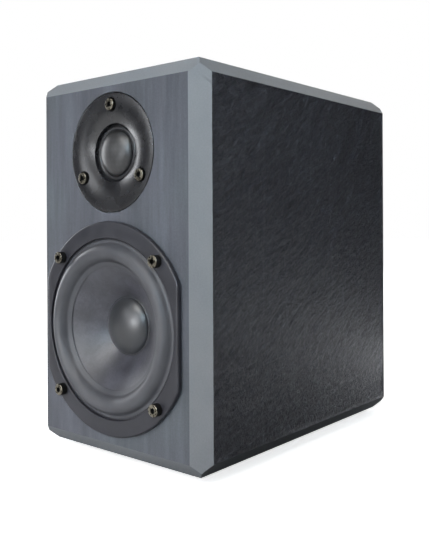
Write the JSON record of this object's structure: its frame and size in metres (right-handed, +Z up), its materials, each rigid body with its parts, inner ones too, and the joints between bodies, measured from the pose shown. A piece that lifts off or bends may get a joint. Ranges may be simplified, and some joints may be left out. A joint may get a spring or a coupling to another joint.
{
  "type": "bookshelf speaker",
  "caption": "Bookshelf loudspeaker: chamfered slate cabinet with a dome tweeter on a round dished plate above a cone woofer in a flat-sided frame, and a rear port and binding posts.",
  "frame": {"origin": "on the surface the speaker stands on, under the middle of its bounding box", "axes": "-Y is the direction the drivers face, +X is the speaker's right as the listener sees it, +Z is up"},
  "size_m": [0.138, 0.2406, 0.2275],
  "materials": {
    "honed_slate": "honed, satin",
    "cleft_slate": "natural cleft, matt",
    "painted_metal": "satin powder coat",
    "cone_skin": "coated, satin, slightly mottled",
    "cap_skin": "coated, satin",
    "rubber": "satin",
    "soft_rubber": "matt",
    "dome_cloth": "coated, satin",
    "bronze_steel": "antique bronze plated",
    "zinc_steel": "zinc plated",
    "ferrite": "matt",
    "copper": "enamelled wire",
    "kraft": "resin treated",
    "brass": "gold plated",
    "red_plastic": "gloss",
    "black_plastic": "matt",
    "circuit_board": "lacquered",
    "film_case": "gloss",
    "ceramic": "matt",
    "wool": "fluffy"
  },
  "bodies": {
    "cabinet": {"front_baffle": "honed_slate", "rear_panel": "cleft_slate", "left_side_panel": "cleft_slate", "right_side_panel": "cleft_slate", "top_panel": "cleft_slate", "bottom_panel": "cleft_slate", "foot_front_left": "soft_rubber", "foot_front_right": "soft_rubber", "foot_rear_left": "soft_rubber", "foot_rear_right": "soft_rubber", "woofer_gasket": "soft_rubber", "woofer_frame": "painted_metal", "tweeter_faceplate": "painted_metal", "woofer_screw_1": "bronze_steel", "woofer_screw_2": "bronze_steel", "woofer_screw_3": "bronze_steel", "woofer_screw_4": "bronze_steel", "tweeter_screw_1": "bronze_steel", "tweeter_screw_2": "bronze_steel", "tweeter_screw_3": "bronze_steel", "terminal_plate_screw_1": "zinc_steel", "terminal_plate_screw_2": "zinc_steel", "terminal_plate_screw_3": "zinc_steel", "terminal_plate_screw_4": "zinc_steel", "woofer_top_plate": "zinc_steel", "woofer_yoke": "zinc_steel", "tweeter_top_plate": "zinc_steel", "tweeter_yoke": "zinc_steel", "tweeter_magnet": "zinc_steel", "post_nut_red": "zinc_steel", "post_nut_black": "zinc_steel", "woofer_magnet": "ferrite", "woofer_surround": "rubber", "tweeter_surround": "rubber", "woofer_spider": "kraft", "woofer_choke": "copper", "tweeter_choke": "copper", "port_tube": "black_plastic", "terminal_plate": "black_plastic", "binding_post_red": "brass", "binding_post_black": "brass", "woofer_tag_strip": "brass", "tweeter_tag_strip": "brass", "crossover_board": "circuit_board", "large_capacitor": "film_case", "small_capacitor": "film_case", "power_resistor": "ceramic", "damping_pad": "wool"},
    "woofer_diaphragm": {"woofer_cone": "cone_skin", "woofer_dust_cap": "cap_skin", "woofer_coil_former": "kraft", "woofer_coil_winding": "copper"},
    "tweeter_diaphragm": {"tweeter_dome": "dome_cloth", "tweeter_voice_coil": "copper"},
    "red_washer": {"clamp_washer_red": "brass"},
    "red_knob": {"terminal_knob_red": "red_plastic"},
    "black_washer": {"clamp_washer_black": "brass"},
    "black_knob": {"terminal_knob_black": "black_plastic"}
  },
  "joints": [
    {"name": "woofer_cone_travel", "type": "slide", "parent": "cabinet", "child": "woofer_diaphragm", "axis": [0, 1, 0], "range_m": [-0.004, 0.004], "stiffness_N_per_m": 1000, "deforming": ["woofer_surround", "woofer_spider"]},
    {"name": "tweeter_dome_travel", "type": "slide", "parent": "cabinet", "child": "tweeter_diaphragm", "axis": [0, 1, 0], "range_m": [-0.0004, 0.0004], "stiffness_N_per_m": 300, "deforming": ["tweeter_surround"]},
    {"name": "red_clamp_travel", "type": "slide", "parent": "cabinet", "child": "red_washer", "axis": [0, 1, 0], "range_m": [0, 0.005]},
    {"name": "red_knob_turn", "type": "hinge", "parent": "red_washer", "child": "red_knob", "pos_m": [0.00953, 0.11292, 0.0645], "axis": [0, 1, 0], "range_deg": [0, 1800]},
    {"name": "black_clamp_travel", "type": "slide", "parent": "cabinet", "child": "black_washer", "axis": [0, 1, 0], "range_m": [0, 0.005]},
    {"name": "black_knob_turn", "type": "hinge", "parent": "black_washer", "child": "black_knob", "pos_m": [-0.00953, 0.11292, 0.0645], "axis": [0, 1, 0], "range_deg": [0, 1800]}
  ],
  "couplings": [
    {"joint": "red_knob_turn", "follows": "red_clamp_travel", "rad_per_m": 6283.2},
    {"joint": "black_knob_turn", "follows": "black_clamp_travel", "rad_per_m": 6283.2}
  ]
}
